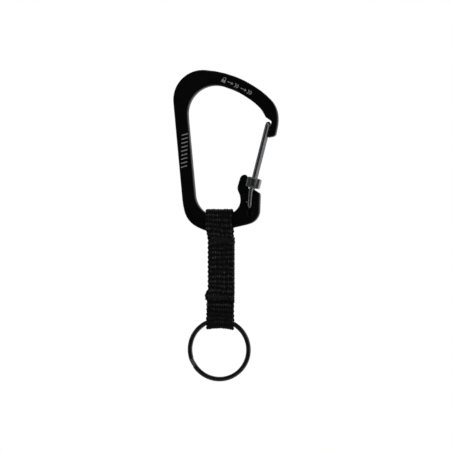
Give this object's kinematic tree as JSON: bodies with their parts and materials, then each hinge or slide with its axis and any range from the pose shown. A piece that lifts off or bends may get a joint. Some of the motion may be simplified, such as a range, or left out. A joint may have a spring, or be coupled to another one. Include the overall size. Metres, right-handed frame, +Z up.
{
  "type": "carabiner keyring",
  "caption": "Flat black carabiner with a sprung wire gate and slide lock, a short sewn webbing strap round its lower bar and a split key ring in the strap's loop.",
  "frame": {"origin": "centre of the round hanging seat inside the plate's top corner, at mid thickness", "axes": "+X across the plate towards the gate, +Y through the plate from front to back, +Z up"},
  "size_m": [0.0526, 0.0086, 0.1555],
  "materials": {
    "anodised_frame": "satin black anodised",
    "gate_steel": "drawn stainless wire",
    "lock_body": "dark grey, semi-gloss",
    "webbing": "ribbed woven nylon",
    "thread": "bonded nylon thread",
    "black_ring": "gloss black over steel"
  },
  "bodies": {
    "frame": {"carabiner_frame": "anodised_frame", "webbing_top_loop": "webbing"},
    "gate": {"gate_wire": "gate_steel"},
    "lock": {"slide_lock": "lock_body"},
    "strap": {"webbing_middle": "webbing", "upper_bar_tack": "thread", "lower_bar_tack": "thread"},
    "lower_loop": {"webbing_bottom_loop": "webbing"},
    "ring": {"key_ring": "black_ring"}
  },
  "joints": [
    {"name": "gate_swing", "type": "hinge", "parent": "frame", "child": "gate", "pos_m": [0.0173, 0, -0.04685], "axis": [0, -1, 0], "range_deg": [0, 20], "stiffness_Nm_per_rad": 0.15, "springref_deg": -14.32},
    {"name": "lock_slide", "type": "slide", "parent": "gate", "child": "lock", "axis": [0.247, 0, 0.969], "range_m": [0, 0.018]},
    {"name": "strap_swing", "type": "hinge", "parent": "frame", "child": "strap", "pos_m": [0.0024, 0, -0.0618], "axis": [1, 0, 0], "range_deg": [-80, 80]},
    {"name": "ring_swing", "type": "hinge", "parent": "strap", "child": "lower_loop", "pos_m": [0.0024, 0, -0.1012], "axis": [1, 0, 0], "range_deg": [-60, 60]},
    {"name": "ring_spin", "type": "hinge", "parent": "lower_loop", "child": "ring", "pos_m": [0.00175, 0, -0.11805], "axis": [0, 1, 0], "continuous": true}
  ]
}
